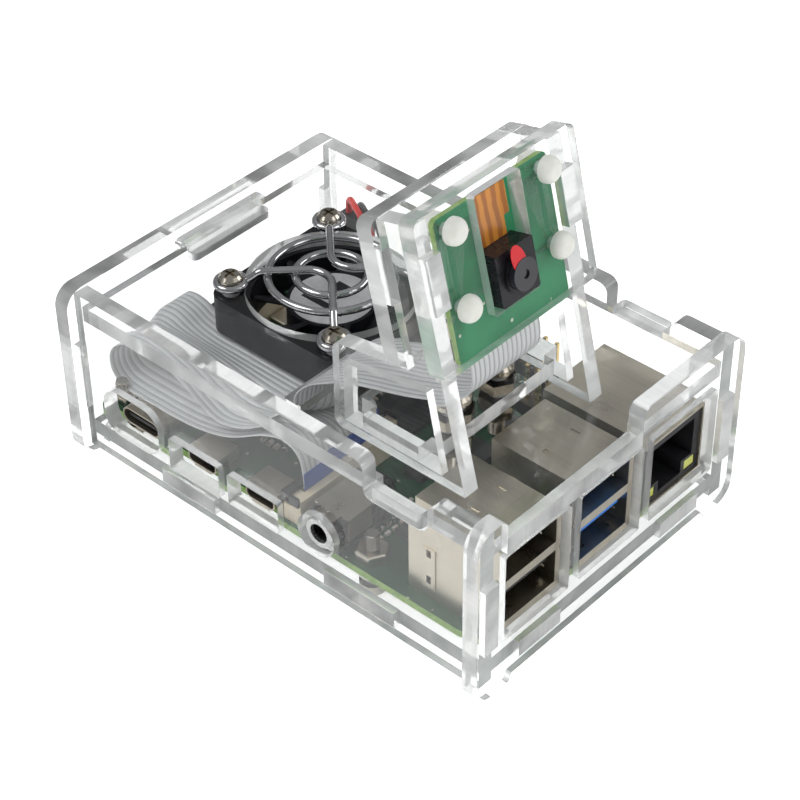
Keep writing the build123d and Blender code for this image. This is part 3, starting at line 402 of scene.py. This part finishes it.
MATERIALS = {
    "clear_x": clear_sheet("clear_x", (1.0, 0.0, 0.0)),
    "clear_y": clear_sheet("clear_y", (0.0, 1.0, 0.0)),
    "clear_z": clear_sheet("clear_z", FLAT),
    "clear_tilted": clear_sheet("clear_tilted", TILTED),
    "board_green": solder_mask(
        "board_green", (0.004, 0.045, 0.020), (0.010, 0.11, 0.05), (0.50, 0.47, 0.38), FLAT),
    "camera_green": solder_mask(
        "camera_green", (0.035, 0.30, 0.13), (0.022, 0.21, 0.09), (0.75, 0.74, 0.66), TILTED),
    "socket_metal": brushed("socket_metal", METAL_DARK, METAL_LIGHT, ALONG_Y),
    "screw_steel": brushed(
        "screw_steel", (0.34, 0.31, 0.26), (0.56, 0.52, 0.45), UP_AND_DOWN, (0.16, 0.3)),
    "chrome_wire": mottled(
        "chrome_wire", (0.42, 0.42, 0.43), (0.58, 0.58, 0.59), (0.05, 0.11),
        metal=1.0, grain=400.0, bump=0.03),
    "black_plastic": mottled("black_plastic", (0.010, 0.010, 0.012), (0.022, 0.022, 0.025), (0.35, 0.5)),
    "fan_black": mottled(
        "fan_black", (0.008, 0.008, 0.011), (0.016, 0.016, 0.020), (0.38, 0.55),
        grain=1400.0, bump=0.25, shine=0.2),
    "chip_black": chip_top("chip_black"),
    "blue_plastic": mottled("blue_plastic", (0.006, 0.16, 0.62), (0.010, 0.24, 0.80), (0.3, 0.42)),
    "cream_plastic": mottled("cream_plastic", (0.60, 0.52, 0.38), (0.70, 0.62, 0.48), (0.4, 0.55)),
    "pin_gold": mottled("pin_gold", (0.70, 0.50, 0.20), (0.85, 0.66, 0.32), (0.2, 0.35), metal=1.0),
    "label_silver": printed_label("label_silver", LABEL_CENTRE),
    "ceramic_parts": small_chip_parts("ceramic_parts"),
    "lamp_plastic": mottled("lamp_plastic", (0.45, 0.50, 0.08), (0.62, 0.64, 0.14), (0.25, 0.35)),
    "white_nylon": nylon("white_nylon"),
    "lens_black": mottled(
        "lens_black", (0.008, 0.008, 0.010), (0.018, 0.018, 0.022), (0.22, 0.36),
        grain=1200.0, bump=0.2),
    "lens_glass": mottled(
        "lens_glass", (0.010, 0.010, 0.014), (0.03, 0.03, 0.04), (0.04, 0.10),
        grain=600.0, bump=0.02, coat=0.8),
    "flex_orange": film_circuit("flex_orange"),
    "ribbon_grey": ribbon_look("ribbon_grey"),
    "ribbon_blue": mottled("ribbon_blue", (0.010, 0.05, 0.30), (0.018, 0.08, 0.42), (0.3, 0.45)),
    "wire_red": mottled("wire_red", (0.55, 0.02, 0.015), (0.72, 0.035, 0.025), (0.35, 0.5)),
    "wire_black": mottled("wire_black", (0.010, 0.010, 0.010), (0.02, 0.02, 0.02), (0.4, 0.55)),
    "jack_black": jack_barrel("jack_black", JACK_FRONT),
    "tab_red": mottled("tab_red", (0.62, 0.012, 0.018), (0.74, 0.02, 0.028), (0.25, 0.4)),
    "processor_metal": brushed("processor_metal", (0.50, 0.50, 0.50), (0.66, 0.66, 0.65), EVEN),
}

# each node's slot in the record, and the nodes that look different from the rest of their slot
SLOTS = {part["node"]: part["material_slot"] for part in RECORD["subparts"]}
OWN_LOOK = {
    "case_left_panel": "clear_x",
    "case_right_panel": "clear_x",
    "case_front_wall": "clear_y",
    "case_back_wall": "clear_y",
    "stand_near_leg": "clear_y",
    "stand_far_leg": "clear_y",
    "case_base_plate": "clear_z",
    "case_top_plate": "clear_z",
    "stand_base": "clear_z",
    "stand_front_plate": "clear_tilted",
    "stand_rear_plate": "clear_tilted",
    "fan_frame": "fan_black",
    "fan_rotor": "fan_black",
    "camera_lens": "lens_glass",
    "processor": "processor_metal",
    "audio_jack_body": "jack_black",
}
# width of the softened edges by slot, in millimetres, and the nodes that are round already
EDGE_MM = {
    "clear_sheet": 0.22,
    "black_plastic": 0.12,
    "socket_metal": 0.08,
    "white_nylon": 0.1,
    "lens_black": 0.12,
    "board_green": 0.08,
    "camera_green": 0.08,
    "screw_steel": 0.05,
    "blue_plastic": 0.1,
    "cream_plastic": 0.1,
}
SMOOTH = {"fan_guard", "fan_screws", "camera_screws", "fan_lead_red", "fan_lead_black", "camera_lens"}
SHARP_ANGLE = math.radians(50)

for name, obj in NODES.items():
    slot = SLOTS[name]
    look = MATERIALS[OWN_LOOK.get(name, slot)]
    for material_slot in obj.material_slots:
        material_slot.material = look
    width = EDGE_MM.get(slot)
    if width and name not in SMOOTH:
        bevel = obj.modifiers.new("edges", "BEVEL")
        bevel.width = width * MM
        bevel.segments = 2
        bevel.limit_method = "ANGLE"
        bevel.angle_limit = SHARP_ANGLE

# ---------------------------------------------------------------- ribbon cable


def evenly_spaced(dense, count):
    """Points the same distance apart along a finely divided line."""
    lengths = [0.0]
    for a, b in zip(dense, dense[1:]):
        lengths.append(lengths[-1] + (b - a).length)
    result = []
    index = 0
    for step in range(count):
        spot = lengths[-1] * step / (count - 1)
        while index < len(lengths) - 2 and lengths[index + 1] < spot:
            index += 1
        gap = max(lengths[index + 1] - lengths[index], 1e-9)
        share = min(1.0, (spot - lengths[index]) / gap)
        result.append(dense[index].lerp(dense[index + 1], share))
    return result


def smooth_path(points, count):
    """Evenly spaced points on a smooth curve through the given ones."""
    guide = bpy.data.curves.new("guide", "CURVE")
    guide.dimensions = "3D"
    guide.resolution_u = 24
    spline = guide.splines.new("BEZIER")
    spline.bezier_points.add(len(points) - 1)
    for knot, point in zip(spline.bezier_points, points):
        knot.co = point
        knot.handle_left_type = "AUTO"
        knot.handle_right_type = "AUTO"
    holder = bpy.data.objects.new("guide", guide)
    flat = bpy.data.meshes.new_from_object(holder)
    dense = [v.co.copy() for v in flat.vertices]
    bpy.data.objects.remove(holder)
    bpy.data.curves.remove(guide)
    bpy.data.meshes.remove(flat)
    return evenly_spaced(dense, count)


# Each edge's path inside the case, as (x, z) at a fixed y, then the run both share outside it,
# as (x, shift in y, z). All are in millimetres from the board's corner.
NEAR_INSIDE = [
    (46.5, 3.0), (46.5, 8.6), (45.4, 11.9), (42.6, 13.2), (39.0, 12.3), (35.6, 10.5), (32.0, 8.2),
    (28.5, 6.4), (22.4, 4.6), (17.0, 3.9), (11.5, 3.7), (6.5, 3.6), (3.4, 4.0), (1.5, 5.6),
    (0.9, 7.8), (1.5, 10.4), (3.9, 12.9), (7.8, 14.4), (13.6, 14.3), (18.5, 12.8), (22.6, 10.5),
    (26.4, 8.9), (31.0, 9.7), (35.9, 12.4), (40.0, 15.4), (42.9, 18.4),
]
FAR_INSIDE = [
    (46.5, 3.0), (46.5, 8.0), (45.9, 9.6), (43.5, 10.0), (39.6, 9.4), (35.8, 8.8), (32.0, 8.2),
    (28.5, 7.7), (22.4, 7.3), (17.0, 7.4), (11.5, 7.5), (6.5, 7.6), (3.6, 7.8), (1.7, 8.7),
    (1.0, 10.0), (1.7, 11.4), (3.9, 12.4), (6.8, 12.2), (9.6, 11.0), (13.0, 10.3), (20.0, 10.2),
    (26.4, 10.2), (32.0, 10.2), (38.0, 10.3), (41.6, 11.0), (43.3, 15.5),
]
OUTSIDE = [
    (43.5, 0.0, 20.0), (43.9, 0.1, 22.4), (45.4, 1.0, 24.3), (48.0, 2.5, 25.4), (51.4, 4.0, 26.3),
    (55.5, 5.0, 27.0), (60.0, 6.0, 27.6), (65.0, 7.3, 28.5), (69.3, 8.3, 29.9), (72.2, 8.9, 32.8),
    (72.4, 9.1, 36.2), (71.3, 9.1, 39.4), (70.3, 9.1, 42.0),
]
NEAR_Y = 3.5
WIDTH = 16.0
RIBBON_ROWS = 260
RIBBON_COLUMNS = 60
RIBBON_THICK = 0.18 * MM
EASE_START = 0.06  # share of the width that keeps to the near edge's path
EASE_SPAN = 0.62  # share of the width over which it changes to the far edge's


def ribbon_edges(count):
    """The two long edges of the cable, each as evenly spaced points in metres."""
    edges = []
    for inside, y in ((NEAR_INSIDE, NEAR_Y), (FAR_INSIDE, NEAR_Y + WIDTH)):
        points = [at(x, y, z) for x, z in inside]
        points += [at(x, y + shift, z) for x, shift, z in OUTSIDE]
        edges.append(smooth_path(points, count))
    return edges


def across_ribbon(near, far):
    """Points from one edge to the other, easing from the near edge's path to the far one's."""
    line = []
    for column in range(RIBBON_COLUMNS + 1):
        share = column / RIBBON_COLUMNS
        ease = min(1.0, max(0.0, (share - EASE_START) / EASE_SPAN))
        ease = ease * ease * (3 - 2 * ease)
        point = near.lerp(far, share)
        point.x = near.x + (far.x - near.x) * ease
        point.z = near.z + (far.z - near.z) * ease
        line.append(point)
    return line


def make_ribbon():
    """A thin ribbed strip between its two edges, low enough under the fan to clear it."""
    rows, columns = RIBBON_ROWS, RIBBON_COLUMNS
    grid = [across_ribbon(near, far) for near, far in zip(*ribbon_edges(rows))]
    mesh = bmesh.new()
    layer = mesh.loops.layers.uv.new("strip")
    verts = [[mesh.verts.new(point) for point in line] for line in grid]
    for i in range(rows - 1):
        for j in range(columns):
            face = mesh.faces.new((verts[i][j], verts[i + 1][j], verts[i + 1][j + 1], verts[i][j + 1]))
            face.smooth = True
            spots = ((i, j), (i + 1, j), (i + 1, j + 1), (i, j + 1))
            for loop, (u, v) in zip(face.loops, spots):
                loop[layer].uv = (u / (rows - 1), v / columns)
    data = bpy.data.meshes.new("ribbon")
    mesh.to_mesh(data)
    mesh.free()
    strip = bpy.data.objects.new("ribbon", data)
    bpy.context.scene.collection.objects.link(strip)
    solid = strip.modifiers.new("thickness", "SOLIDIFY")
    solid.thickness = RIBBON_THICK
    solid.offset = 0.0
    data.materials.append(MATERIALS["ribbon_grey"])
    return strip


ribbon = make_ribbon()
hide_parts("ribbon_cable")
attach(ribbon, ROOT)

# ---------------------------------------------------------------- pull tab of the lens film


FILM_THICK = 0.12 * MM
TAB_LIFT = 1.82 * MM  # from the lens's middle out to the film
TAB_INNER = 2.62 * MM  # radius of the edge that the tab grows from
TAB_REACH = 2.9 * MM  # how far its rounded end stands out from that edge
TAB_START = math.radians(74)
TAB_END = math.radians(140)
RIM_STEPS = 16
TIP_STEPS = 24


def tab_outline():
    """The tab's outline round the lens: an arc on the lens's edge, and half an ellipse outside it."""
    outline = []
    for i in range(RIM_STEPS + 1):
        angle = TAB_START + (TAB_END - TAB_START) * i / RIM_STEPS
        outline.append((math.cos(angle) * TAB_INNER, math.sin(angle) * TAB_INNER))
    middle = (TAB_START + TAB_END) / 2
    wide = TAB_INNER * math.sin((TAB_END - TAB_START) / 2)
    for i in range(1, TIP_STEPS):
        turn = math.pi * i / TIP_STEPS - math.pi / 2
        across = math.sin(turn) * wide
        along = TAB_INNER + math.cos(turn) * TAB_REACH
        outline.append((
            math.cos(middle) * along + math.sin(middle) * across,
            math.sin(middle) * along - math.cos(middle) * across,
        ))
    return outline


def make_lens_tab():
    """Thin red pull tab standing out from the edge of the lens's protective film."""
    low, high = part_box("camera_lens")
    rise = Vector((-math.sin(LEAN), 0.0, math.cos(LEAN)))
    face = (low + high) / 2 + Vector(TILTED) * TAB_LIFT
    mesh = bmesh.new()
    verts = [mesh.verts.new(face + Vector((0, y, 0)) + rise * h) for y, h in tab_outline()]
    mesh.faces.new(verts)
    data = bpy.data.meshes.new("lens_tab")
    mesh.to_mesh(data)
    mesh.free()
    tab = bpy.data.objects.new("lens_tab", data)
    bpy.context.scene.collection.objects.link(tab)
    film = tab.modifiers.new("film", "SOLIDIFY")
    film.thickness = FILM_THICK
    film.offset = 0.0
    data.materials.append(MATERIALS["tab_red"])
    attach(tab, ROOT)


make_lens_tab()

# ---------------------------------------------------------------- floor, light and camera

FLOOR_HALF = 3.0
FLOOR_GLOW = 0.7
MIRRORED_GLOW = 0.1
CAMERA_AZIMUTH = math.radians(42.455)
CAMERA_ELEVATION = math.radians(39.287)
CAMERA_ROLL = math.radians(-0.665)
CAMERA_TARGET = Vector((3.815, -3.281, 20.0)) * MM
CAMERA_DISTANCE = 371.6 * MM
LENS_MM = 101.3
SENSOR_MM = 36.0

def stage_floor():
    """Large pale floor with a very soft mottle, lit less where polished metal mirrors it."""
    mesh = bmesh.new()
    bmesh.ops.create_grid(mesh, x_segments=4, y_segments=4, size=FLOOR_HALF)
    data = bpy.data.meshes.new("floor")
    mesh.to_mesh(data)
    mesh.free()
    floor = bpy.data.objects.new("floor", data)
    bpy.context.scene.collection.objects.link(floor)
    s = Shader("floor_white")
    s.colour(s.ramp(s.noise(3.0), [(0.3, (0.93, 0.93, 0.93)), (0.7, (0.95, 0.95, 0.95))]))
    s.set(rough=0.9)
    s.bsdf.inputs["Emission Color"].default_value = (1.0, 1.0, 1.0, 1.0)
    rays = s.node("ShaderNodeLightPath").outputs
    through = s.math("SUBTRACT", 1.0, rays["Is Transmission Ray"])
    mirrored = s.math("MULTIPLY", rays["Is Glossy Ray"], through)
    glow = s.math("MULTIPLY_ADD", mirrored, MIRRORED_GLOW - FLOOR_GLOW, FLOOR_GLOW)
    s.link(glow, s.bsdf.inputs["Emission Strength"])
    data.materials.append(s.mat)


def area_light(name, place, target, size, watts):
    """A soft rectangular light aimed at a point; places and sizes are in metres."""
    lamp = bpy.data.lights.new(name, "AREA")
    lamp.shape = "RECTANGLE"
    lamp.size, lamp.size_y = size
    lamp.energy = watts
    holder = bpy.data.objects.new(name, lamp)
    bpy.context.scene.collection.objects.link(holder)
    holder.location = place
    holder.rotation_euler = (Vector(target) - Vector(place)).to_track_quat("-Z", "Y").to_euler()


def set_world():
    """Plain studio surroundings, darker near the floor and paler overhead."""
    world = bpy.data.worlds.new("studio")
    bpy.context.scene.world = world
    world.use_nodes = True
    tree = world.node_tree
    back = tree.nodes["Background"]
    coord = tree.nodes.new("ShaderNodeTexCoord")
    split = tree.nodes.new("ShaderNodeSeparateXYZ")
    ramp = tree.nodes.new("ShaderNodeValToRGB")
    tree.links.new(coord.outputs["Generated"], split.inputs[0])
    tree.links.new(split.outputs["Z"], ramp.inputs["Fac"])
    tree.links.new(ramp.outputs["Color"], back.inputs["Color"])
    ramp.color_ramp.elements[0].position = 0.05
    ramp.color_ramp.elements[0].color = (0.30, 0.30, 0.31, 1.0)
    ramp.color_ramp.elements[1].position = 0.8
    ramp.color_ramp.elements[1].color = (0.75, 0.76, 0.77, 1.0)
    back.inputs["Strength"].default_value = 0.5


def set_camera():
    """Camera aimed at a point over the board, with its small roll."""
    back = Vector((
        math.sin(CAMERA_AZIMUTH) * math.cos(CAMERA_ELEVATION),
        -math.cos(CAMERA_AZIMUTH) * math.cos(CAMERA_ELEVATION),
        math.sin(CAMERA_ELEVATION),
    ))
    right = (-back).cross(Vector((0, 0, 1))).normalized()
    up = right.cross(-back)
    turned_right = right * math.cos(CAMERA_ROLL) + up * math.sin(CAMERA_ROLL)
    turned_up = up * math.cos(CAMERA_ROLL) - right * math.sin(CAMERA_ROLL)
    lens = bpy.data.cameras.new("camera")
    lens.lens = LENS_MM
    lens.sensor_width = SENSOR_MM
    lens.clip_start = 0.01
    lens.clip_end = 20.0
    eye = bpy.data.objects.new("camera", lens)
    bpy.context.scene.collection.objects.link(eye)
    turn = Matrix((turned_right, turned_up, back)).transposed()
    eye.matrix_world = Matrix.Translation(CAMERA_TARGET + back * CAMERA_DISTANCE) @ turn.to_4x4()
    bpy.context.scene.camera = eye


stage_floor()
set_world()
area_light("key", (-0.35, -0.45, 0.75), (0, 0, 0.03), (0.5, 0.5), 3.0)
area_light("side", (0.75, 0.15, 0.45), (0, 0, 0.03), (0.4, 0.6), 1.5)
area_light("rim", (0.45, 0.75, 0.4), (0, 0, 0.04), (0.5, 0.3), 1.6)
set_camera()
bpy.context.scene.view_settings.view_transform = "Standard"
